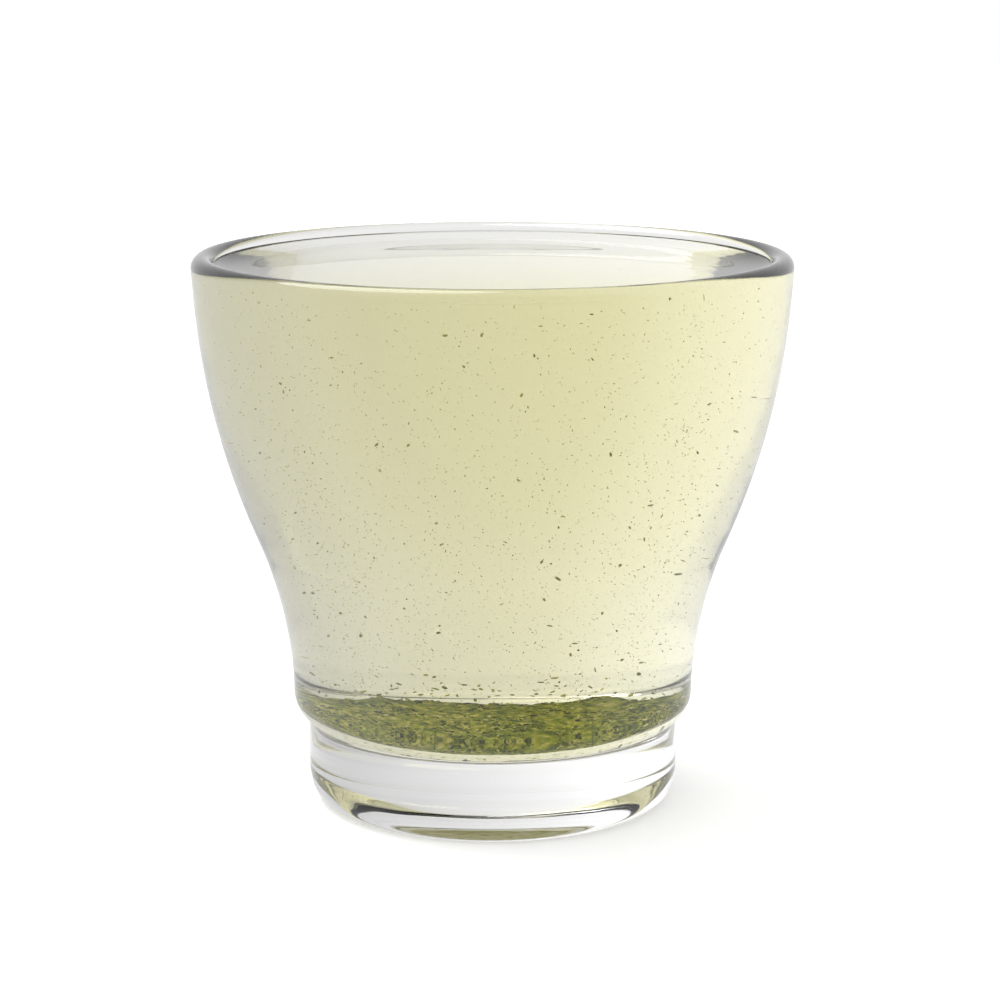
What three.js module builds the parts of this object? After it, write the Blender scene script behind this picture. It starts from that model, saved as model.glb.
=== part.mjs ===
// A handleless pressed-glass tea cup on a stepped foot, filled with green tea.
// The cup is one piece of glass. The tea and the layer of fine leaf that has
// settled in it are bodies of their own, laid inside the glass with a small gap.
//
// Millimetres, +Z up. The origin is the centre of the circle the foot stands on.
import * as THREE from 'three';

// ---------- driving dimensions ----------

// glass: rim, bowl, foot
const CUP_HEIGHT = 78;          // table to the crest of the rim
const RIM_RADIUS = 42;          // outside of the rim
const WALL = 3.3;               // glass thickness of the bowl, and of the round rim
const RIM_SLOPE = 0.06;         // how far the bowl still opens at the rim, mm per mm

const TURN_RADIUS = 33.1;       // where the flare turns from hollow to full
const TURN_HEIGHT = 37.3;
const TURN_SLOPE = 0.43;

const BAND_RADIUS = 28.5;       // narrow upright band under the flare
const BAND_HEIGHT = 15.6;       // lower edge of that band
const UNDERSIDE_RADIUS = 4.25;  // rounding from the band in to the foot

const FOOT_RADIUS = 26.4;       // upright side of the foot
const FOOT_EDGE_WIDTH = 2.3;    // rounding of its lower edge, inwards
const FOOT_EDGE_HEIGHT = 4.9;   // and upwards
const RING_WIDTH = 1;           // flat ring that the foot stands on
const DISH_DEPTH = 2.05;        // hollow inside that ring, with a nearly flat roof
const DISH_FLATNESS = 8;        // the higher, the flatter the roof and the rounder its edge

// inside of the bowl
const FLOOR_HEIGHT = 11.7;      // table to the inside floor
const FLOOR_CORNER = 2.7;       // rounding from the floor up to the wall

// what is in the cup
const CLEARANCE = 0.3;          // gap between glass, tea and leaf
const TEA_BELOW_RIM = 2.7;      // from the crest of the rim down to the flat surface of the tea
const MENISCUS_REACH = 2.8;     // the tea creeps up the wall over this width
const MENISCUS_RISE = 0.9;
const LEAF_DEPTH = 1.2;         // layer of settled leaf

// how finely the round shapes are cut
const ROUND_STEPS = 48;
const CURVE_STEPS = 7;
const ARC_STEPS = 5;
const DISH_STEPS = 8;

// ---------- outline helpers, in the plane of radius and height ----------

function point(radius, height) {
  return new THREE.Vector2(radius, height);
}

// An elliptical arc about a centre, from one angle to another, in degrees.
function arc(centre, width, height, from, to, steps = ARC_STEPS) {
  const points = [];
  for (let i = 0; i <= steps; i++) {
    const angle = THREE.MathUtils.degToRad(from + (to - from) * i / steps);
    points.push(point(centre.x + width * Math.cos(angle), centre.y + height * Math.sin(angle)));
  }
  return points;
}

// A smooth curve between two points that leaves and arrives with the given slopes.
function sweep(start, startSlope, startPull, end, endSlope, endPull) {
  const length = start.distanceTo(end);
  const leave = point(startSlope, 1).setLength(length * startPull);
  const arrive = point(endSlope, 1).setLength(length * endPull);
  return new THREE.CubicBezierCurve(
    start,
    start.clone().add(leave),
    end.clone().sub(arrive),
    end,
  );
}

// The two curves of the bowl's outside, from the band up to where the round lip
// begins, which is low enough for the crest of the lip to be at CUP_HEIGHT.
function bowlCurves() {
  const lean = RIM_SLOPE / Math.hypot(RIM_SLOPE, 1);
  const band = point(BAND_RADIUS, BAND_HEIGHT);
  const turn = point(TURN_RADIUS, TURN_HEIGHT);
  const rim = point(RIM_RADIUS, CUP_HEIGHT - WALL / 2 * (1 + lean));
  return [
    sweep(band, 0, 0.33, turn, TURN_SLOPE, 0.28),
    sweep(turn, TURN_SLOPE, 0.46, rim, RIM_SLOPE, 0.22),
  ];
}

// Points along the bowl at a given depth inside its outer face, bottom to top.
function bowlOffset(depth) {
  const points = [];
  bowlCurves().forEach((curve, index) => {
    for (let i = index; i <= CURVE_STEPS; i++) {
      const t = i / CURVE_STEPS;
      const along = curve.getTangent(t);
      const place = curve.getPoint(t);
      points.push(point(place.x - along.y * depth, place.y + along.x * depth));
    }
  });
  return points;
}

// The part of a rising outline between two heights, with its ends cut level.
function between(points, low, high) {
  const cut = [point(radiusAt(points, low), low)];
  for (const p of points) {
    if (p.y > low + 0.2 && p.y < high - 0.2) {
      cut.push(p);
    }
  }
  cut.push(point(radiusAt(points, high), high));
  return cut;
}

// The radius of a rising outline at one height.
function radiusAt(points, height) {
  const above = points.findIndex((p) => p.y >= height);
  const upper = points[Math.max(above, 1)];
  const lower = points[Math.max(above, 1) - 1];
  const share = (height - lower.y) / (upper.y - lower.y);
  return lower.x + (upper.x - lower.x) * share;
}

// The hollow of the bowl seen from inside, drawn in by a gap, from the middle
// of the floor out and up to the given height.
function hollow(gap, top) {
  const wall = bowlOffset(WALL + gap);
  const cornerTop = FLOOR_HEIGHT + FLOOR_CORNER;
  const cornerRadius = FLOOR_CORNER - gap;
  const centre = point(radiusAt(wall, cornerTop) - cornerRadius, cornerTop);
  return [
    point(0, FLOOR_HEIGHT + gap),
    ...arc(centre, cornerRadius, cornerRadius, -90, 0).slice(0, -1),
    ...between(wall, cornerTop, top),
  ];
}

// Turns an outline that starts and ends on the axis into a closed body.
function turned(outline) {
  const geometry = new THREE.LatheGeometry(outline, ROUND_STEPS);
  geometry.rotateX(Math.PI / 2);
  return geometry;
}

function piece(name, geometry, look) {
  const mesh = new THREE.Mesh(geometry, new THREE.MeshStandardMaterial(look));
  mesh.name = name;
  return mesh;
}

// ---------- the glass cup ----------

// Dish, standing ring, rounded edge and side of the foot, up to the bowl.
function footOutline() {
  const edge = point(FOOT_RADIUS - FOOT_EDGE_WIDTH, FOOT_EDGE_HEIGHT);
  const dishRadius = edge.x - RING_WIDTH;
  const dish = [];
  for (let i = 0; i <= DISH_STEPS; i++) {
    const share = Math.sin(Math.PI / 2 * i / DISH_STEPS);
    dish.push(point(dishRadius * share, DISH_DEPTH * (1 - share ** DISH_FLATNESS)));
  }
  return [
    ...dish,
    ...arc(edge, FOOT_EDGE_WIDTH, FOOT_EDGE_HEIGHT, -90, 0),
  ];
}

// The rounded underside of the bowl, from the side of the foot to the band.
function undersideOutline() {
  const centre = point(BAND_RADIUS - UNDERSIDE_RADIUS, BAND_HEIGHT);
  const reach = Math.max(FOOT_RADIUS - centre.x, 0) / UNDERSIDE_RADIUS;
  const start = -THREE.MathUtils.radToDeg(Math.acos(reach));
  return arc(centre, UNDERSIDE_RADIUS, UNDERSIDE_RADIUS, start, 0);
}

// The round lip, from the outer face over the crest to the inner face.
function rimOutline() {
  const tilt = THREE.MathUtils.radToDeg(Math.atan(RIM_SLOPE));
  const outer = bowlOffset(WALL / 2).at(-1);
  return arc(outer, WALL / 2, WALL / 2, -tilt, 180 - tilt, 2 * ARC_STEPS);
}

function glassCup() {
  const outside = bowlOffset(0);
  const inside = hollow(0, bowlOffset(WALL).at(-1).y);
  const outline = [
    ...footOutline(),
    ...undersideOutline(),
    ...outside.slice(1, -1),
    ...rimOutline().slice(0, -1),
    ...inside.slice(0, -1).reverse(),
  ];
  return piece('glass_cup', turned(outline), {
    color: 0xf4f6f2,
    roughness: 0.03,
    metalness: 0,
    transparent: true,
    opacity: 0.3,
  });
}

// ---------- the tea ----------

// A full body of liquid: it stands on the leaf layer, follows the glass and
// has a level surface that creeps up the wall at its edge.
function greenTea() {
  const floor = FLOOR_HEIGHT + 2 * CLEARANCE + LEAF_DEPTH;
  const level = CUP_HEIGHT - TEA_BELOW_RIM;
  const edge = level + MENISCUS_RISE;
  const side = between(hollow(CLEARANCE, edge).slice(1), floor, edge);
  const wallRadius = side.at(-1).x;
  const surface = [];
  for (let i = ARC_STEPS - 1; i >= 0; i--) {
    const share = i / ARC_STEPS;
    surface.push(point(wallRadius - MENISCUS_REACH * (1 - share),
      level + MENISCUS_RISE * share * share));
  }
  const outline = [point(0, floor), ...side, ...surface, point(0, level)];
  return piece('green_tea', turned(outline), {
    color: 0xd9d5a8,
    roughness: 0.05,
    metalness: 0,
    transparent: true,
    opacity: 0.7,
  });
}

// ---------- the settled leaf ----------

// Fine leaf lying on the inside floor, up to the rounding of its corner.
function leafSediment() {
  const top = FLOOR_HEIGHT + CLEARANCE + LEAF_DEPTH;
  const low = hollow(CLEARANCE, FLOOR_HEIGHT + FLOOR_CORNER + LEAF_DEPTH);
  const side = between(low.slice(1), FLOOR_HEIGHT + CLEARANCE, top);
  const outline = [low[0], low[1], ...side.slice(1), point(0, top)];
  return piece('leaf_sediment', turned(outline), {
    color: 0x6f7423,
    roughness: 0.9,
    metalness: 0,
  });
}

// ---------- the whole part ----------

const cupOfTea = new THREE.Group();
cupOfTea.add(glassCup());
cupOfTea.add(greenTea());
cupOfTea.add(leafSediment());

export default cupOfTea;
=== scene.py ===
# %% [markdown]
# # A glass tea cup filled with green tea
#
# The part is a handleless cup of clear pressed glass on a stepped foot, full almost to the lip
# with green tea. Fine leaf drifts in the tea and lies on the floor of the bowl. It is a lesson
# in glass: nearly all that the eye sees is light bent by a few surfaces, so a small change of
# shape shows at once, whatever the material.
#
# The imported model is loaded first, as what follows has to fit it.

# %% Load the frame
import math
import random

import bpy
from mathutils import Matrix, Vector, noise


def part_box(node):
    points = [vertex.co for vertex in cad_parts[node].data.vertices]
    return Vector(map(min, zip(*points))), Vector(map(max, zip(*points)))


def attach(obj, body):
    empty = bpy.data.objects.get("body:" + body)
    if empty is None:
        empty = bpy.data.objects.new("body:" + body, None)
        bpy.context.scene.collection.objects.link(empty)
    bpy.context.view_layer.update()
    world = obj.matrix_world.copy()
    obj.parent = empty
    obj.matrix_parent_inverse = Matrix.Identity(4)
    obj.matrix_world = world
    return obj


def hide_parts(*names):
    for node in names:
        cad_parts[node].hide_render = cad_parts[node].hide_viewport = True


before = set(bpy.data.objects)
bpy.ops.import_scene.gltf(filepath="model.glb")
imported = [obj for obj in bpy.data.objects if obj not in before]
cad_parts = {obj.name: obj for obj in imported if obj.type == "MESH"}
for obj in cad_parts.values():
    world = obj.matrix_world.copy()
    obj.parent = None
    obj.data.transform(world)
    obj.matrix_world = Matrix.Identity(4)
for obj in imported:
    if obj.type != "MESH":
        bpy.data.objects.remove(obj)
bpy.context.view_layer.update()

scene = bpy.context.scene
scene.view_settings.view_transform = "Standard"
MM = 0.001
print("nodes:", sorted(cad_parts))

# %% [markdown]
# The camera looks slightly down on the cup from a little above the lip, with a long lens, as
# for a catalogue picture. It is made before the object.

# %% Camera
CAMERA_PLACE = (0.00104, -0.400, 0.1243)
CAMERA_TILT = 11.53      # degrees below the horizon
CAMERA_LENS = 103.5


def make_camera():
    data = bpy.data.cameras.new("camera")
    data.lens = CAMERA_LENS
    data.clip_start = 0.01
    camera = bpy.data.objects.new("camera", data)
    camera.location = CAMERA_PLACE
    camera.rotation_euler = (math.radians(90 - CAMERA_TILT), 0, 0)
    scene.collection.objects.link(camera)
    return camera


scene.camera = make_camera()
print("camera", CAMERA_LENS, "mm lens,", CAMERA_TILT, "degrees down")

# %% [markdown]
# ## The sizes
#
# The cup is a body of revolution, so a few radii and heights say all of it. The total height and
# the radius of the lip are read back from the construction model. The rest are inside its
# outline, which can't be read from a box, so they repeat its values.

# %% Sizes in millimetres
_, lip_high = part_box("glass_cup")
CUP_HEIGHT = lip_high.z / MM
RIM_RADIUS = round(lip_high.x / MM, 3)
WALL = 3.3
RIM_SLOPE = 0.06
TURN_RADIUS, TURN_HEIGHT, TURN_SLOPE = 33.1, 37.3, 0.43
BAND_RADIUS, BAND_HEIGHT = 28.5, 15.6
UNDERSIDE_RADIUS = 4.25
FOOT_RADIUS = 26.4
FOOT_EDGE_WIDTH, FOOT_EDGE_HEIGHT = 2.3, 4.9
RING_WIDTH = 1
DISH_DEPTH, DISH_FLATNESS = 2.05, 8
FLOOR_HEIGHT, FLOOR_CORNER = 11.7, 2.7
TEA_LEVEL = 75.3
MENISCUS_RISE = 1.5
CAPILLARY_LENGTH = 2.7
print("cup height", round(CUP_HEIGHT, 2), "mm")

# %% [markdown]
# ## Drawing an outline
#
# A turned shape needs one outline in the plane of radius and height. Two kinds of line do here:
# elliptical arcs for the rounded edges, and cubic curves that leave and arrive with a given
# slope for the flare of the bowl. Both return plain points, so outlines can be joined as lists.

# %% Outline helpers


def arc(centre, width, height, start, end, steps):
    """Points on an ellipse about a centre, from one angle to another in degrees."""
    points = []
    for i in range(steps + 1):
        angle = math.radians(start + (end - start) * i / steps)
        points.append((centre[0] + width * math.cos(angle), centre[1] + height * math.sin(angle)))
    return points


def sweep(start, start_slope, start_pull, end, end_slope, end_pull):
    """The four control points of a curve that leaves and arrives with the given slopes."""
    start, end = Vector(start), Vector(end)
    length = (end - start).length
    leave = Vector((start_slope, 1)).normalized() * length * start_pull
    arrive = Vector((end_slope, 1)).normalized() * length * end_pull
    return start, start + leave, end - arrive, end


def on_curve(control, t):
    """The place and the direction of a cubic curve at t."""
    a, b, c, d = control
    s = 1 - t
    place = a * s ** 3 + b * 3 * s * s * t + c * 3 * s * t * t + d * t ** 3
    along = (b - a) * s * s + (c - b) * 2 * s * t + (d - c) * t * t
    return place, along.normalized()


def radius_at(points, height):
    """The radius of a rising outline at one height."""
    for low, high in zip(points, points[1:]):
        if high[1] >= height:
            break
    share = (height - low[1]) / (high[1] - low[1])
    return low[0] + (high[0] - low[0]) * share


def between(points, low, high):
    """The part of a rising outline between two heights, with its ends cut level."""
    inner = [p for p in points if low + 0.05 < p[1] < high - 0.05]
    return [(radius_at(points, low), low)] + inner + [(radius_at(points, high), high)]


# %% [markdown]
# The bowl's outside is two such curves: hollow from the upright band to the turn, and full from
# the turn to the lip. Its inside is the same line moved in by the wall, which is how a pressed
# glass is made: the plunger follows the mould at an even distance.

# %% The line of the bowl
CURVE_STEPS = 40
CORNER_STEPS = 16


def bowl_line(depth):
    """Points along the bowl at a depth inside its outer face, bottom to top."""
    lean = RIM_SLOPE / math.hypot(RIM_SLOPE, 1)
    turn = (TURN_RADIUS, TURN_HEIGHT)
    lip = (RIM_RADIUS, CUP_HEIGHT - WALL / 2 * (1 + lean))
    curves = [
        sweep((BAND_RADIUS, BAND_HEIGHT), 0, 0.33, turn, TURN_SLOPE, 0.28),
        sweep(turn, TURN_SLOPE, 0.46, lip, RIM_SLOPE, 0.22),
    ]
    points = []
    for index, control in enumerate(curves):
        for i in range(index, CURVE_STEPS + 1):
            place, along = on_curve(control, i / CURVE_STEPS)
            points.append((place.x - along.y * depth, place.y + along.x * depth))
    return points


def hollow(gap, top):
    """The inside of the bowl, drawn in by a gap, from the middle of its floor to a height."""
    wall = bowl_line(WALL + gap)
    corner_top = FLOOR_HEIGHT + FLOOR_CORNER
    corner = FLOOR_CORNER - gap
    centre = (radius_at(wall, corner_top) - corner, corner_top)
    floor = [(0, FLOOR_HEIGHT + gap)] + arc(centre, corner, corner, -90, 0, CORNER_STEPS)[:-1]
    return floor + between(wall, corner_top, top)


print("bowl radius at the lip, inside:", round(bowl_line(WALL)[-1][0], 2), "mm")

# %% [markdown]
# ## Turning an outline
#
# Blender's Spin and Screw tools would turn the outline too, but they leave doubled points on the
# axis and normals to be repaired. Rings of points joined by hand give a closed shell whose faces
# point outwards from the start, which refraction depends on: one face the wrong way and the
# liquid turns into a bubble.

# %% The lathe
ROUND_STEPS = 256


def lathe(name, outline):
    """A closed body of an outline that runs from the axis at its foot, out, up and back."""
    rings, vertices = [], []
    for radius, height in outline:
        if radius < 1e-6:
            rings.append([len(vertices)])
            vertices.append((0, 0, height * MM))
            continue
        rings.append(list(range(len(vertices), len(vertices) + ROUND_STEPS)))
        for k in range(ROUND_STEPS):
            turn = 2 * math.pi * k / ROUND_STEPS
            x, y = radius * math.cos(turn), radius * math.sin(turn)
            vertices.append((x * MM, y * MM, height * MM))
    faces = []
    for low, high in zip(rings, rings[1:]):
        for k in range(ROUND_STEPS):
            j = (k + 1) % ROUND_STEPS
            if len(low) == 1:
                faces.append((low[0], high[j], high[k]))
            elif len(high) == 1:
                faces.append((low[k], low[j], high[0]))
            else:
                faces.append((low[k], low[j], high[j], high[k]))
    mesh = bpy.data.meshes.new(name)
    mesh.from_pydata(vertices, [], faces)
    mesh.shade_smooth()
    body = bpy.data.objects.new(name, mesh)
    scene.collection.objects.link(body)
    print(name, len(faces), "faces")
    return body

# %% [markdown]
# ## The glass cup
#
# The outline runs under the foot, up the outside, over the round lip and down the inside. The
# foot is a solid block of glass. Its underside is a hollow with a nearly flat roof inside a
# narrow standing ring, as a ring rocks less than a flat disc. That hollow matters to the eye, as
# it mirrors the leaf on the floor of the bowl into the foot. Its shape is a guess that was picked
# for those mirrored bands, since a hollow of another shape puts them elsewhere.

# %% The glass cup
DISH_STEPS = 40
EDGE_STEPS = 24
LIP_STEPS = 40


def cup_outline():
    """From the middle of the hollow under the foot to the middle of the bowl's floor."""
    edge = (FOOT_RADIUS - FOOT_EDGE_WIDTH, FOOT_EDGE_HEIGHT)
    dish_radius = edge[0] - RING_WIDTH
    dish = []
    for i in range(DISH_STEPS + 1):
        share = math.sin(math.pi / 2 * i / DISH_STEPS)
        dish.append((dish_radius * share, DISH_DEPTH * (1 - share ** DISH_FLATNESS)))
    edge_arc = arc(edge, FOOT_EDGE_WIDTH, FOOT_EDGE_HEIGHT, -90, 0, EDGE_STEPS)
    under = (BAND_RADIUS - UNDERSIDE_RADIUS, BAND_HEIGHT)
    start = -math.degrees(math.acos((FOOT_RADIUS - under[0]) / UNDERSIDE_RADIUS))
    under_arc = arc(under, UNDERSIDE_RADIUS, UNDERSIDE_RADIUS, start, 0, EDGE_STEPS)
    tilt = math.degrees(math.atan(RIM_SLOPE))
    lip = arc(bowl_line(WALL / 2)[-1], WALL / 2, WALL / 2, -tilt, 180 - tilt, LIP_STEPS)
    inside = hollow(0, bowl_line(WALL)[-1][1])
    return dish + edge_arc + under_arc + bowl_line(0)[1:-1] + lip[:-1] + inside[::-1]


glass_cup = lathe("pressed_glass_cup", cup_outline())

# %% [markdown]
# ## The tea
#
# A renderer bends light at each surface by the two materials that meet there, so glass against
# tea must bend less than glass against air. With the same gap between them as in the
# construction model, the wall would look like double glazing. So the tea is drawn a little way
# into the glass, and the ray then leaves the glass inside the tea, with no air between.
#
# At its edge the tea climbs the wall. That curve is not a fillet but the capillary curve of
# water, which has a formula: steep at the wall, and flat again after a few millimetres.

# %% The tea
INTO_GLASS = 0.15
MENISCUS_STEPS = 24
MENISCUS_END = 0.012     # share of the climb at which the curve counts as flat


def meniscus():
    """Distances from the wall, and heights above the level, of the tea's climbing edge."""
    reach = 2 * CAPILLARY_LENGTH

    def distance(height):
        return CAPILLARY_LENGTH * math.acosh(reach / height) - math.sqrt(reach ** 2 - height ** 2)

    points = []
    for i in range(MENISCUS_STEPS + 1):
        height = MENISCUS_RISE * MENISCUS_END ** (i / MENISCUS_STEPS)
        points.append((distance(height) - distance(MENISCUS_RISE), height))
    return points


def tea_outline():
    """Along the glass, a little way into it, up on to the round lip, and back over the tea."""
    lip = bowl_line(WALL / 2)[-1]
    radius = WALL / 2 - INTO_GLASS
    climb = math.degrees(math.asin((TEA_LEVEL + MENISCUS_RISE - lip[1]) / radius))
    level = 180 - math.degrees(math.atan(RIM_SLOPE))
    side = hollow(-INTO_GLASS, bowl_line(WALL)[-1][1])[:-1]
    side += arc(lip, radius, radius, level, 180 - climb, 8)
    wall = side[-1][0]
    surface = [(wall - away, TEA_LEVEL + up) for away, up in meniscus()[1:]]
    return side + surface + [(0, TEA_LEVEL)]


tea = lathe("brewed_tea", tea_outline())
print("the tea reaches", round(tea_outline()[-2][0], 1), "mm before its surface is level")

# %% [markdown]
# ## The leaf
#
# Ground leaf sinks slowly: some still drifts, most of it lies on the floor. It is made of
# many small fragments that differ in size, turn and shade, so one fragment is modelled and
# Geometry Nodes scatter it. A fragment is a thin, curled scrap with a ragged edge. Some twenty
# faces are enough, as the largest is under 2 mm long.

# %% One scrap of leaf
SCRAP_EDGE = 7
SCRAP_THICKNESS = 0.10   # as shares of its length
SCRAP_WIDTH = 0.42
SCRAP_CURL = 0.22


def leaf_scrap(name, seed):
    """A closed scrap one metre long, so that a scale in metres is its real length."""
    draw = random.Random(seed)
    top, low = [], []
    for k in range(SCRAP_EDGE):
        turn = 2 * math.pi * k / SCRAP_EDGE
        reach = draw.uniform(0.32, 0.5)
        x = reach * math.cos(turn)
        y = SCRAP_WIDTH * reach * math.sin(turn)
        z = SCRAP_CURL * (x * x - y) * draw.uniform(0.5, 1.5)
        top.append((x, y, z + SCRAP_THICKNESS / 2))
        low.append((x, y, z - SCRAP_THICKNESS / 2))
    n = SCRAP_EDGE
    vertices = top + low + [(0, 0, SCRAP_THICKNESS), (0, 0, 0)]
    faces = []
    for k in range(n):
        j = (k + 1) % n
        faces.append((k, j, 2 * n))
        faces.append((n + j, n + k, 2 * n + 1))
        faces.append((n + k, n + j, j, k))
    mesh = bpy.data.meshes.new(name)
    mesh.from_pydata(vertices, [], faces)
    return bpy.data.objects.new(name, mesh)


scrap = leaf_scrap("leaf_scrap", 3)
print("one scrap has", len(scrap.data.polygons), "faces")

# %% [markdown]
# The scatter is one Geometry Nodes tree with named inputs, used four times: for the dust and the
# chips that drift, for the haze over the bed, and for the scraps that lie on it. Points are
# dropped on a carrier surface, and on the bed they fall in patches. For drifting leaf that
# surface is the wall of the tea, and each point is then drawn in towards the axis by a random
# share, which fills the body without having to ask whether a point is inside it. Each scrap
# keeps a random shade for its material. Drifting scraps keep to the paler shades, which is
# painted light in place of the light that comes through thin leaf.

# %% Tools for building node trees
NODE_STEP = 200          # how far apart the nodes are laid out


def add(tree, kind, place, **settings):
    """Adds a node, sets its properties and returns it."""
    node = tree.nodes.new(kind)
    node.location = (place[0] * NODE_STEP, place[1] * NODE_STEP)
    for key, value in settings.items():
        setattr(node, key, value)
    return node


def random_value(tree, place, low, high, seed):
    """A random number between two sockets or values, with a seed that also fits its place."""
    node = add(tree, "FunctionNodeRandomValue", place, data_type="FLOAT")
    for name, value in (("Min", low), ("Max", high)):
        socket = next(s for s in node.inputs if s.name == name and s.type == "VALUE")
        if isinstance(value, (int, float)):
            socket.default_value = value
        else:
            tree.links.new(value, socket)
    mix = add(tree, "ShaderNodeMath", (place[0] - 1, place[1] - 0.5), operation="ADD")
    tree.links.new(seed, mix.inputs[0])
    mix.inputs[1].default_value = place[0] * 7 + place[1]
    tree.links.new(mix.outputs[0], node.inputs["Seed"])
    return next(s for s in node.outputs if s.type == "VALUE")


# %% The scatter tree
PATCH_FROM, PATCH_TO = 0.45, 0.58    # noise below the first is bare, above the second full
SCATTER_INPUTS = (
    ("Scrap", "NodeSocketObject", None),
    ("Finish", "NodeSocketMaterial", None),
    ("Pieces per square metre", "NodeSocketFloat", 1e5),
    ("Smallest", "NodeSocketFloat", 0.0002),
    ("Largest", "NodeSocketFloat", 0.0005),
    ("Innermost share", "NodeSocketFloat", 0.1),
    ("Tumble", "NodeSocketFloat", 3.14),
    ("Clear above", "NodeSocketFloat", 0.08),
    ("Full below", "NodeSocketFloat", 0.0),
    ("Patches per metre", "NodeSocketFloat", 150.0),
    ("Bare share", "NodeSocketFloat", 1.0),
    # painted light: unless set, scraps keep to the paler shades, in place of light that comes
    # through thin leaf
    ("Darkest shade", "NodeSocketFloat", 0.35),
    ("Seed", "NodeSocketInt", 1),
)


def scatter_tree():
    tree = bpy.data.node_groups.new("scatter_leaf", "GeometryNodeTree")
    face = tree.interface
    face.new_socket("Geometry", in_out="INPUT", socket_type="NodeSocketGeometry")
    for name, kind, value in SCATTER_INPUTS:
        socket = face.new_socket(name, in_out="INPUT", socket_type=kind)
        if value is not None:
            socket.default_value = value
    face.new_socket("Geometry", in_out="OUTPUT", socket_type="NodeSocketGeometry")
    start = add(tree, "NodeGroupInput", (-6, 0)).outputs
    end = add(tree, "NodeGroupOutput", (8, 0))
    link = tree.links.new

    place = add(tree, "GeometryNodeInputPosition", (-6, -2))
    split = add(tree, "ShaderNodeSeparateXYZ", (-5, -2))
    link(place.outputs[0], split.inputs[0])
    crowd = add(tree, "ShaderNodeMapRange", (-4, -2))
    link(split.outputs["Z"], crowd.inputs["Value"])
    link(start["Clear above"], crowd.inputs["From Min"])
    link(start["Full below"], crowd.inputs["From Max"])
    much = add(tree, "ShaderNodeMath", (-3, -1), operation="MULTIPLY")
    link(crowd.outputs[0], much.inputs[0])
    link(start["Pieces per square metre"], much.inputs[1])
    patches = add(tree, "ShaderNodeTexNoise", (-5, -4))
    link(place.outputs[0], patches.inputs["Vector"])
    link(start["Patches per metre"], patches.inputs["Scale"])
    thin = add(tree, "ShaderNodeMapRange", (-4, -4))
    link(patches.outputs[0], thin.inputs["Value"])
    thin.inputs["From Min"].default_value = PATCH_FROM
    thin.inputs["From Max"].default_value = PATCH_TO
    link(start["Bare share"], thin.inputs["To Min"])
    patchy = add(tree, "ShaderNodeMath", (-3, -3), operation="MULTIPLY")
    link(much.outputs[0], patchy.inputs[0])
    link(thin.outputs[0], patchy.inputs[1])
    drop = add(tree, "GeometryNodeDistributePointsOnFaces", (-2, 0))
    link(start["Geometry"], drop.inputs["Mesh"])
    link(patchy.outputs[0], drop.inputs["Density"])
    link(start["Seed"], drop.inputs["Seed"])

    share = random_value(tree, (-2, -3), start["Innermost share"], 1.0, start["Seed"])
    inward = add(tree, "ShaderNodeCombineXYZ", (-1, -3))
    link(share, inward.inputs["X"])
    link(share, inward.inputs["Y"])
    inward.inputs["Z"].default_value = 1
    scaled = add(tree, "ShaderNodeVectorMath", (0, -2), operation="MULTIPLY")
    link(place.outputs[0], scaled.inputs[0])
    link(inward.outputs[0], scaled.inputs[1])
    move = add(tree, "GeometryNodeSetPosition", (1, 0))
    link(drop.outputs["Points"], move.inputs["Geometry"])
    link(scaled.outputs[0], move.inputs["Position"])

    keep = add(tree, "GeometryNodeStoreNamedAttribute", (2, 0), data_type="FLOAT", domain="POINT")
    keep.inputs["Name"].default_value = "leaf_shade"
    link(move.outputs[0], keep.inputs["Geometry"])
    shade = random_value(tree, (1, -4), start["Darkest shade"], 1.0, start["Seed"])
    link(shade, keep.inputs["Value"])

    source = add(tree, "GeometryNodeObjectInfo", (2, -2))
    link(start["Scrap"], source.inputs[0])
    back = add(tree, "ShaderNodeMath", (0, -5), operation="MULTIPLY")
    link(start["Tumble"], back.inputs[0])
    back.inputs[1].default_value = -1
    spin = add(tree, "ShaderNodeCombineXYZ", (3, -4))
    for row, axis in ((-4, "X"), (-5, "Y")):
        tilt = random_value(tree, (2, row), back.outputs[0], start["Tumble"], start["Seed"])
        link(tilt, spin.inputs[axis])
    link(random_value(tree, (2, -6), -math.pi, math.pi, start["Seed"]), spin.inputs["Z"])
    size = random_value(tree, (2, -7), start["Smallest"], start["Largest"], start["Seed"])
    lay = add(tree, "GeometryNodeInstanceOnPoints", (4, 0))
    link(keep.outputs[0], lay.inputs["Points"])
    link(source.outputs["Geometry"], lay.inputs["Instance"])
    link(spin.outputs[0], lay.inputs["Rotation"])
    link(size, lay.inputs["Scale"])
    real = add(tree, "GeometryNodeRealizeInstances", (5, 0))
    link(lay.outputs[0], real.inputs[0])
    paint = add(tree, "GeometryNodeSetMaterial", (6, 0))
    link(real.outputs[0], paint.inputs["Geometry"])
    link(start["Finish"], paint.inputs["Material"])
    link(paint.outputs[0], end.inputs[0])
    return tree


scatter = scatter_tree()
print("scatter tree:", len(scatter.nodes), "nodes")

# %% [markdown]
# Using the tree is the same three steps each time: put it on a carrier, set its inputs by their
# identifiers, and read the result back as a plain mesh, so that nothing live is left.

# %% Scattering
CARRIER_STEPS = 64
CARRIER_FOOT = 2.5       # the carrier starts this far above the floor
CARRIER_TOP = 1.5        # and ends this far below the surface


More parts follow.
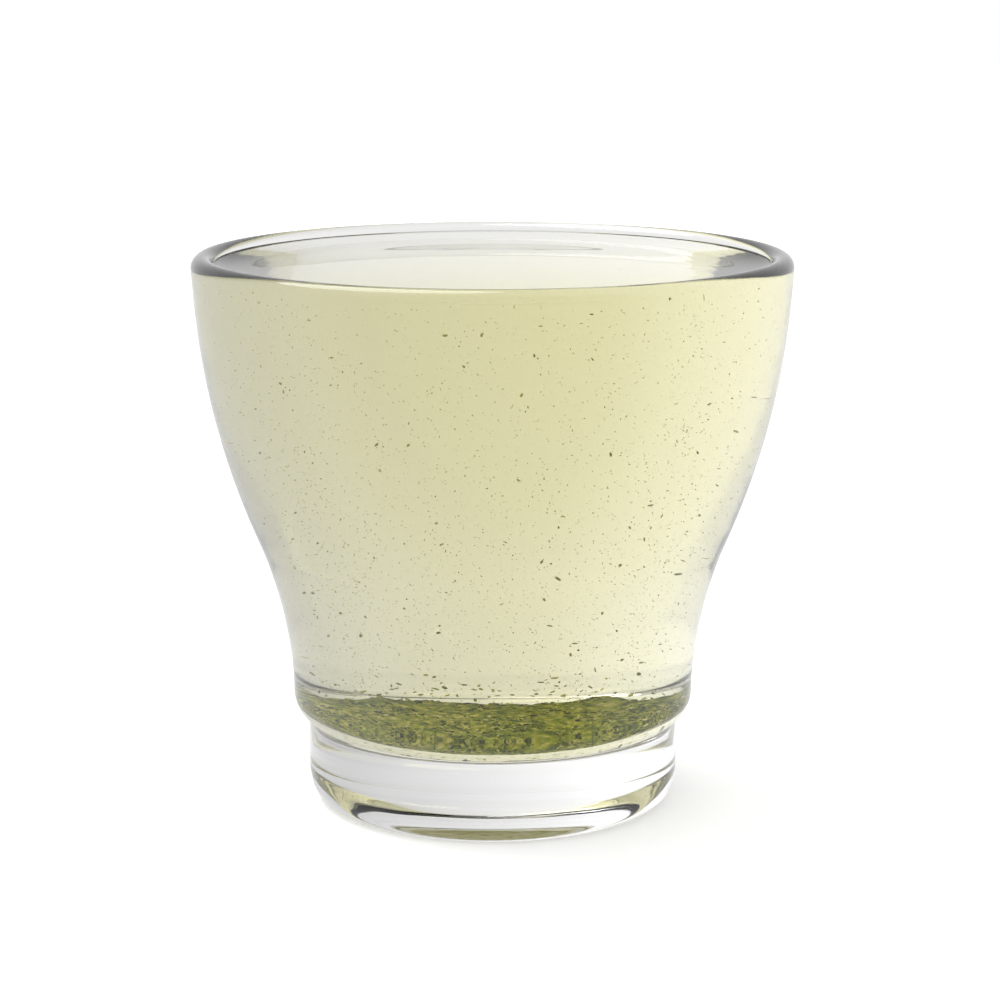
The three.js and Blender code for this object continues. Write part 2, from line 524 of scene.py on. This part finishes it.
def scattered(name, carrier, values):
    """Runs the scatter tree on a carrier and returns the scraps as one plain object."""
    modifier = carrier.modifiers.new("scatter", "NODES")
    modifier.node_group = scatter
    for item in scatter.interface.items_tree:
        if item.in_out == "INPUT" and item.name in values:
            modifier[item.identifier] = values[item.name]
    bpy.context.view_layer.update()
    graph = bpy.context.evaluated_depsgraph_get()
    mesh = bpy.data.meshes.new_from_object(carrier.evaluated_get(graph))
    mesh.name = name
    carrier.modifiers.clear()
    piece = bpy.data.objects.new(name, mesh)
    scene.collection.objects.link(piece)
    print(name, len(mesh.polygons) // len(scrap.data.polygons), "scraps")
    return piece


def tea_wall(inset):
    """An open carrier that follows the tea's wall at an inset, floor and surface left out."""
    low, high = FLOOR_HEIGHT + CARRIER_FOOT, TEA_LEVEL - CARRIER_TOP
    side = between(hollow(inset, TEA_LEVEL)[1:], low, high)
    steps = CARRIER_STEPS
    vertices, faces = [], []
    for radius, height in side:
        for k in range(steps):
            turn = 2 * math.pi * k / steps
            x, y = radius * math.cos(turn), radius * math.sin(turn)
            vertices.append((x * MM, y * MM, height * MM))
    for i in range(len(side) - 1):
        for k in range(steps):
            j = (k + 1) % steps
            faces.append((i * steps + k, i * steps + j, (i + 1) * steps + j, (i + 1) * steps + k))
    mesh = bpy.data.meshes.new("carrier")
    mesh.from_pydata(vertices, [], faces)
    carrier = bpy.data.objects.new("carrier", mesh)
    scene.collection.objects.link(carrier)
    return carrier

# %% [markdown]
# ## What the leaf is made of
#
# Wet ground leaf goes from nearly black green to straw yellow, scrap by scrap, and each scrap is
# mottled too. That mottling is one shader node group with named inputs. The scraps and the bed
# both use it, each with its own values.

# %% The leaf mottle group
LEAF_COLOURS = (
    (0.00, (0.060, 0.075, 0.003)),
    (0.25, (0.150, 0.200, 0.007)),
    (0.55, (0.380, 0.430, 0.028)),
    (0.80, (0.700, 0.670, 0.140)),
    (1.00, (0.860, 0.820, 0.420)),
)
LEAF_ROUGHNESS = (0.35, 0.75)
LEAF_IN_TEA_IOR = 1.09   # leaf against tea, not against air, so it hardly shines


def socket(group, name, direction, kind, value=None):
    made = group.interface.new_socket(name, in_out=direction, socket_type=kind)
    if value is not None:
        made.default_value = value


def leaf_mottle_group():
    group = bpy.data.node_groups.new("leaf_mottle", "ShaderNodeTree")
    socket(group, "Shade", "INPUT", "NodeSocketFloat", 0.5)
    socket(group, "Grain", "INPUT", "NodeSocketFloat", 1500.0)
    socket(group, "Amount", "INPUT", "NodeSocketFloat", 0.4)
    socket(group, "Color", "OUTPUT", "NodeSocketColor")
    socket(group, "Roughness", "OUTPUT", "NodeSocketFloat")
    start = add(group, "NodeGroupInput", (-5, 0)).outputs
    end = add(group, "NodeGroupOutput", (4, 0)).inputs
    link = group.links.new
    place = add(group, "ShaderNodeTexCoord", (-5, -2))
    grain = add(group, "ShaderNodeTexNoise", (-4, -1))
    grain.inputs["Detail"].default_value = 3
    link(place.outputs["Object"], grain.inputs["Vector"])
    link(start["Grain"], grain.inputs["Scale"])
    centred = add(group, "ShaderNodeMath", (-3, -1), operation="SUBTRACT")
    link(grain.outputs[0], centred.inputs[0])
    centred.inputs[1].default_value = 0.5
    scaled = add(group, "ShaderNodeMath", (-2, -1), operation="MULTIPLY_ADD")
    link(centred.outputs[0], scaled.inputs[0])
    link(start["Amount"], scaled.inputs[1])
    link(start["Shade"], scaled.inputs[2])
    ramp = add(group, "ShaderNodeValToRGB", (0, 0))
    stops = ramp.color_ramp.elements
    while len(stops) < len(LEAF_COLOURS):
        stops.new(0.5)
    for stop, (position, colour) in zip(stops, LEAF_COLOURS):
        stop.position = position
        stop.color = (*colour, 1)
    link(scaled.outputs[0], ramp.inputs[0])
    link(ramp.outputs[0], end["Color"])
    rough = add(group, "ShaderNodeMapRange", (0, -3))
    link(grain.outputs[0], rough.inputs["Value"])
    rough.inputs["To Min"].default_value = LEAF_ROUGHNESS[0]
    rough.inputs["To Max"].default_value = LEAF_ROUGHNESS[1]
    link(rough.outputs[0], end["Roughness"])
    return group


leaf_mottle = leaf_mottle_group()


def new_material(name):
    material = bpy.data.materials.new(name)
    material.use_nodes = True
    shader = material.node_tree.nodes["Principled BSDF"]
    return material, material.node_tree, shader


def leaf_material(name, grain, amount):
    """Wet leaf. The shade comes from the attribute that each scrap or bed vertex carries."""
    material, tree, shader = new_material(name)
    shade = add(tree, "ShaderNodeAttribute", (-5, 0), attribute_name="leaf_shade")
    mottle = add(tree, "ShaderNodeGroup", (-3, 0))
    mottle.node_tree = leaf_mottle
    mottle.inputs["Grain"].default_value = grain
    mottle.inputs["Amount"].default_value = amount
    tree.links.new(shade.outputs["Fac"], mottle.inputs["Shade"])
    tree.links.new(mottle.outputs["Color"], shader.inputs["Base Color"])
    tree.links.new(mottle.outputs["Roughness"], shader.inputs["Roughness"])
    shader.inputs["IOR"].default_value = LEAF_IN_TEA_IOR
    return material


scrap_finish = leaf_material("wet_leaf_scraps", 1800, 0.5)
bed_finish = leaf_material("wet_leaf_bed", 1100, 1.3)
print("leaf finishes:", scrap_finish.name, bed_finish.name)

# %% [markdown]
# ## The settled bed
#
# On the floor the leaf has settled into a crust of uneven depth that runs a little way up the
# rounded corner of the bowl. The crust is a closed body on a round grid: its underside follows
# the glass, and its top is raised by noise. Real leaf this thin lets light through, which a plain
# surface doesn't. Paler shades stand in for that light: at the thin places of the top, and all
# over the underside, which is seen mirrored in the foot.

# %% The bed
BED_GAP = 0.1
BED_DEPTH = 0.7
BED_THINNEST = 0.12
BROAD_NOISE, BROAD_AMOUNT = 0.16, 1.1    # noise per millimetre, and share of the depth
FINE_NOISE, FINE_AMOUNT = 0.7, 0.8
BED_HEAP = 1.0           # more of it on the right
HEAP_FROM, HEAP_WIDTH = 8, 14
BED_RINGS = 70
BED_SPOKES = 240
BED_EDGE = 1.2           # the crust thins out over this width
BED_RADIUS = 24.6
BED_WANDER_NEAR, BED_WANDER_FAR = 0.4, 2.8   # how far its edge wanders inwards, front and back
EDGE_NOISE = 4
TOP_SHADE, SHADE_PER_DEPTH = 0.80, 0.32
PATCH_NOISE = 900        # per metre
TOP_PATCHES, UNDERSIDE_PATCHES = 0.35, 0.5
UNDERSIDE_SHADE = 0.95


def floor_height(radius):
    """The inside of the bowl's floor and corner at a radius, with the bed's gap on it."""
    flat = radius_at(bowl_line(WALL), FLOOR_HEIGHT + FLOOR_CORNER) - FLOOR_CORNER
    corner = FLOOR_CORNER - BED_GAP
    out = min(max(radius - flat, 0), corner)
    return FLOOR_HEIGHT + FLOOR_CORNER - math.sqrt(corner * corner - out * out)


def bed_depth(x, y):
    broad = noise.noise(Vector((x * BROAD_NOISE, y * BROAD_NOISE, 3.1)))
    fine = noise.noise(Vector((x * FINE_NOISE, y * FINE_NOISE, 8.4)))
    heap = BED_HEAP * min(max((x - HEAP_FROM) / HEAP_WIDTH, 0), 1) ** 2
    return max(BED_DEPTH * (1 + BROAD_AMOUNT * broad + FINE_AMOUNT * fine) + heap, BED_THINNEST)


def bed_reach(turn):
    """The radius of the bed's uneven edge in one direction."""
    wander = BED_WANDER_NEAR + (BED_WANDER_FAR - BED_WANDER_NEAR) * max(math.sin(turn), 0)
    around = Vector((EDGE_NOISE * math.cos(turn), EDGE_NOISE * math.sin(turn), 5.2))
    return BED_RADIUS - wander * (0.5 + noise.noise(around))


def bed_surface(top):
    """Vertices of the top or the underside, a middle point first, then ring by ring."""
    points = []
    for ring in range(BED_RINGS + 1):
        for k in range(BED_SPOKES if ring else 1):
            turn = 2 * math.pi * k / BED_SPOKES
            reach = bed_reach(turn)
            radius = reach * ring / BED_RINGS
            edge = min((reach - radius) / BED_EDGE, 1)
            x, y = radius * math.cos(turn), radius * math.sin(turn)
            height = floor_height(radius) + (bed_depth(x, y) * math.sqrt(edge) if top else 0)
            points.append((x * MM, y * MM, height * MM))
    return points


def disc_faces(first, upwards):
    """Faces over the points of bed_surface, whose first point has the given number."""
    faces = []
    for ring in range(BED_RINGS):
        inner = first + 1 + (ring - 1) * BED_SPOKES
        outer = first + 1 + ring * BED_SPOKES
        for k in range(BED_SPOKES):
            j = (k + 1) % BED_SPOKES
            if ring == 0:
                face = (first, outer + k, outer + j)
            else:
                face = (inner + k, outer + k, outer + j, inner + j)
            faces.append(face if upwards else face[::-1])
    return faces


def make_bed(name, closed):
    top = bed_surface(True)
    faces = disc_faces(0, True)
    vertices = list(top)
    if closed:
        first = len(top)
        vertices += bed_surface(False)
        faces += disc_faces(first, False)
    mesh = bpy.data.meshes.new(name)
    mesh.from_pydata(vertices, [], faces)
    shade = mesh.attributes.new("leaf_shade", "FLOAT", "POINT")
    for index, (x, y, z) in enumerate(vertices):
        depth = bed_depth(x / MM, y / MM)
        patch = noise.noise(Vector((x * PATCH_NOISE, y * PATCH_NOISE, 1.7)))
        if index < len(top):
            shade.data[index].value = TOP_SHADE - SHADE_PER_DEPTH * depth + TOP_PATCHES * patch
        else:
            shade.data[index].value = UNDERSIDE_SHADE + UNDERSIDE_PATCHES * patch
    body = bpy.data.objects.new(name, mesh)
    scene.collection.objects.link(body)
    return body


bed = make_bed("settled_leaf_bed", True)
weld = bed.modifiers.new("weld", "WELD")
weld.merge_threshold = 0.001 * MM
bed.data.materials.append(bed_finish)
print("bed:", len(bed.data.polygons), "faces")

# %% [markdown]
# Four runs of the scatter fill the cup: dust and chips that drift in the tea, more of them low
# down, a haze just above the bed, and the scraps that lie flat on it.

# %% Leaf in the tea and on the bed
SCATTERS = (
    # name, inset, pieces per m2, smallest, largest, innermost, tumble, clear above, full below
    ("drifting_dust", 0.6, 8.0e5, 0.10, 0.32, 0.55, 3.14, 120, 12),
    ("drifting_chips", 0.9, 2.6e4, 0.35, 0.95, 0.5, 3.14, 95, 10),
    ("haze_over_bed", 0.8, 7.0e5, 0.3, 1.1, 0.3, 0.9, 19, 13.4),
)


def make_drifting():
    pieces = []
    for row, (name, inset, crowd, small, large, inner, tumble, clear, full) in enumerate(SCATTERS):
        carrier = tea_wall(inset)
        # the drifting leaf keeps the paler default shades, painted light for the light through
        # thin leaf
        pieces.append(scattered(name, carrier, {
            "Scrap": scrap, "Finish": scrap_finish, "Pieces per square metre": crowd,
            "Smallest": small * MM, "Largest": large * MM, "Innermost share": inner,
            "Tumble": tumble, "Clear above": clear * MM, "Full below": full * MM, "Seed": row + 4,
        }))
        bpy.data.objects.remove(carrier)
    return pieces


drifting = make_drifting()
bed_top = make_bed("bed_top", False)
lying = scattered("scraps_on_bed", bed_top, {
    "Scrap": scrap, "Finish": scrap_finish, "Pieces per square metre": 4.2e6,
    "Smallest": 0.25 * MM, "Largest": 1.5 * MM, "Innermost share": 1.0,
    "Tumble": 0.5, "Clear above": 1.0, "Full below": 0.5, "Patches per metre": 260.0,
    "Bare share": 0.12, "Darkest shade": 0.0, "Seed": 11,
})
bpy.data.objects.remove(bed_top)

# %% [markdown]
# ## Glass and tea
#
# Both are the same shader with other numbers: full transmission, no roughness, and the index of
# refraction of glass or of water. Pressed glass isn't quite even, since it cooled against a
# mould, so a very faint bump with long, level waves bends the light here and there. The tea's
# colour isn't on its surface but in its depth: a volume that takes up blue light most and red
# a little.

# %% Glass and tea materials
WAVE_HEIGHT = 0.0005


def mould_wave_group():
    """Long, level unevenness, as a height for a bump."""
    group = bpy.data.node_groups.new("mould_waves", "ShaderNodeTree")
    socket(group, "Waves per metre", "INPUT", "NodeSocketFloat", 60.0)
    socket(group, "Level", "INPUT", "NodeSocketFloat", 4.0)
    socket(group, "Height", "OUTPUT", "NodeSocketFloat")
    start = add(group, "NodeGroupInput", (-5, 0)).outputs
    end = add(group, "NodeGroupOutput", (2, 0)).inputs
    link = group.links.new
    place = add(group, "ShaderNodeTexCoord", (-5, -2))
    stretch = add(group, "ShaderNodeCombineXYZ", (-4, -2))
    stretch.inputs["X"].default_value = 1
    stretch.inputs["Y"].default_value = 1
    link(start["Level"], stretch.inputs["Z"])
    squashed = add(group, "ShaderNodeVectorMath", (-3, -2), operation="MULTIPLY")
    link(place.outputs["Object"], squashed.inputs[0])
    link(stretch.outputs[0], squashed.inputs[1])
    waves = add(group, "ShaderNodeTexNoise", (-1, 0))
    waves.inputs["Detail"].default_value = 1
    link(squashed.outputs[0], waves.inputs["Vector"])
    link(start["Waves per metre"], waves.inputs["Scale"])
    link(waves.outputs[0], end["Height"])
    return group


mould_waves = mould_wave_group()


def clear_material(name, ior, waves, level, strength):
    """A clear body whose surface is uneven by a very faint bump."""
    material, tree, shader = new_material(name)
    shader.inputs["Base Color"].default_value = (1, 1, 1, 1)
    shader.inputs["Roughness"].default_value = 0
    shader.inputs["IOR"].default_value = ior
    shader.inputs["Transmission Weight"].default_value = 1
    uneven = add(tree, "ShaderNodeGroup", (-4, -2))
    uneven.node_tree = mould_waves
    uneven.inputs["Waves per metre"].default_value = waves
    uneven.inputs["Level"].default_value = level
    bump = add(tree, "ShaderNodeBump", (-2, -2))
    bump.inputs["Strength"].default_value = strength
    bump.inputs["Distance"].default_value = WAVE_HEIGHT
    tree.links.new(uneven.outputs["Height"], bump.inputs["Height"])
    tree.links.new(bump.outputs["Normal"], shader.inputs["Normal"])
    return material, tree


GLASS_IOR = 1.5
TEA_IOR = 1.333
TEA_TINT = (0.845, 0.81, 0.356, 1)
TEA_STRENGTH = 16.0      # per metre

glass_finish, _ = clear_material("pressed_glass", GLASS_IOR, 60, 4, 0.1)
tea_finish, tea_tree = clear_material("green_tea", TEA_IOR, 40, 1, 0.05)
depth = add(tea_tree, "ShaderNodeVolumeAbsorption", (0, -3))
depth.inputs["Color"].default_value = TEA_TINT
depth.inputs["Density"].default_value = TEA_STRENGTH
tea_tree.links.new(depth.outputs[0], tea_tree.nodes["Material Output"].inputs["Volume"])
glass_cup.data.materials.append(glass_finish)
tea.data.materials.append(tea_finish)
print("glass and tea:", glass_finish.name, tea_finish.name)

# %% [markdown]
# ## The table and the light
#
# Glass is lit by what stands round it, and no one room gives all that is wanted here, so the
# Light Path node shows different rooms to different rays, which a real studio can't do. Light
# that comes through the glass sees a white room that falls off from left to right. The full cup
# turns everything round, so the grey comes out on the left of the tea. Mirrored light sees a
# room with a dark front, as white would wash out the greens of the leaf. The camera sees plain
# white. This suits the view from the front: from behind, the dark side may show in the lip.
# The table is hidden from what the glass mirrors and bends, or its edge would show as a horizon.

# %% Table
TABLE_SIZE = 4.0
TABLE_WHITE = (0.8, 0.8, 0.8, 1)
TABLE_GLOW = 0.5         # lifts the table to near white, so that only a soft shadow is left
TABLE_DROP = 0.0002      # the foot keeps its film of air, which glass needs to mirror inside


def by_ray(tree, rays, kind, others, seen, place):
    """Shows one shader to one kind of ray and another to all other rays."""
    mix = add(tree, "ShaderNodeMixShader", place)
    tree.links.new(rays.outputs[kind], mix.inputs[0])
    tree.links.new(others.outputs[0], mix.inputs[1])
    tree.links.new(seen.outputs[0], mix.inputs[2])
    return mix


def make_table():
    half = TABLE_SIZE / 2
    mesh = bpy.data.meshes.new("table")
    corners = [(-half, -half), (half, -half), (half, half), (-half, half)]
    mesh.from_pydata([(x, y, -TABLE_DROP) for x, y in corners], [], [(0, 1, 2, 3)])
    table = bpy.data.objects.new("table", mesh)
    scene.collection.objects.link(table)
    material = bpy.data.materials.new("white_table")
    material.use_nodes = True
    tree = material.node_tree
    tree.nodes.clear()
    output = add(tree, "ShaderNodeOutputMaterial", (2, 0))
    matt = add(tree, "ShaderNodeBsdfDiffuse", (-3, 0))
    matt.inputs["Color"].default_value = TABLE_WHITE
    glow = add(tree, "ShaderNodeEmission", (-3, -2))
    glow.inputs["Strength"].default_value = TABLE_GLOW
    both = add(tree, "ShaderNodeAddShader", (-2, -1))
    tree.links.new(matt.outputs[0], both.inputs[0])
    tree.links.new(glow.outputs[0], both.inputs[1])
    clear = add(tree, "ShaderNodeBsdfTransparent", (-2, -3))
    rays = add(tree, "ShaderNodeLightPath", (-3, 3))
    straight = by_ray(tree, rays, "Is Camera Ray", matt, both, (-1, 0))
    mirrored = by_ray(tree, rays, "Is Glossy Ray", straight, clear, (0, 0))
    through = by_ray(tree, rays, "Is Transmission Ray", mirrored, clear, (1, 0))
    tree.links.new(through.outputs[0], output.inputs["Surface"])
    mesh.materials.append(material)
    return table


table = make_table()

# %% World
WHITE = 1.0
LEFT_SIDE, RIGHT_SIDE = 1.15, 0.58
SIDE_REACH = 0.8         # the fall from left to right runs between these sines of the side angle
DARK_FRONT = 0.12
FRONT_FROM, FRONT_TO = -0.75, -0.2


def make_world():
    world = bpy.data.worlds.new("studio")
    scene.world = world
    world.use_nodes = True
    tree = world.node_tree
    tree.nodes.clear()
    link = tree.links.new
    output = add(tree, "ShaderNodeOutputWorld", (4, 0))
    place = add(tree, "ShaderNodeTexCoord", (-5, 0))
    split = add(tree, "ShaderNodeSeparateXYZ", (-4, 0))
    link(place.outputs["Generated"], split.inputs[0])
    rooms = []
    for row, (axis, start, end, first, last) in enumerate((
        ("X", -SIDE_REACH, SIDE_REACH, LEFT_SIDE, RIGHT_SIDE),
        ("Y", FRONT_FROM, FRONT_TO, DARK_FRONT, WHITE),
    )):
        fall = add(tree, "ShaderNodeMapRange", (-3, -row), interpolation_type="SMOOTHSTEP")
        link(split.outputs[axis], fall.inputs["Value"])
        fall.inputs["From Min"].default_value = start
        fall.inputs["From Max"].default_value = end
        fall.inputs["To Min"].default_value = first
        fall.inputs["To Max"].default_value = last
        rooms.append(add(tree, "ShaderNodeBackground", (0, -row)))
        link(fall.outputs[0], rooms[row].inputs["Strength"])
    rooms.append(add(tree, "ShaderNodeBackground", (0, -2)))
    rooms[-1].inputs["Strength"].default_value = WHITE
    for room in rooms:
        room.inputs["Color"].default_value = (1, 1, 1, 1)
    rays = add(tree, "ShaderNodeLightPath", (0, 2))
    mirrored = by_ray(tree, rays, "Is Glossy Ray", rooms[0], rooms[1], (1, 0))
    through = by_ray(tree, rays, "Is Transmission Ray", mirrored, rooms[0], (2, 0))
    seen = by_ray(tree, rays, "Is Camera Ray", through, rooms[2], (3, 0))
    link(seen.outputs[0], output.inputs["Surface"])


make_world()

# %% Softbox
LAMP_PLACE = (-0.35, 0.25, 1.0)
LAMP_SIZE = 0.8
LAMP_WATTS = 6


def make_lamp():
    data = bpy.data.lights.new("softbox", "AREA")
    data.shape = "DISK"
    data.size = LAMP_SIZE
    data.energy = LAMP_WATTS
    lamp = bpy.data.objects.new("softbox", data)
    lamp.location = LAMP_PLACE
    lamp.rotation_euler = (-Vector(lamp.location)).to_track_quat("-Z", "Y").to_euler()
    scene.collection.objects.link(lamp)


make_lamp()
print("table, world and one softbox")

# %% [markdown]
# ## The body
#
# Every piece rides on the only body, and the pieces of the construction model that the cup, the
# tea and the bed stand for are hidden.

# %% Bodies and hidden parts
PIECES = (
    (glass_cup, "glass_cup", "clear_glass"),
    (tea, "green_tea", "green_tea"),
    (bed, "leaf_sediment", "tea_leaf"),
)
for piece, node, slot in PIECES:
    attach(piece, "root")
    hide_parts(node)
for piece in [*drifting, lying]:
    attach(piece, "root")
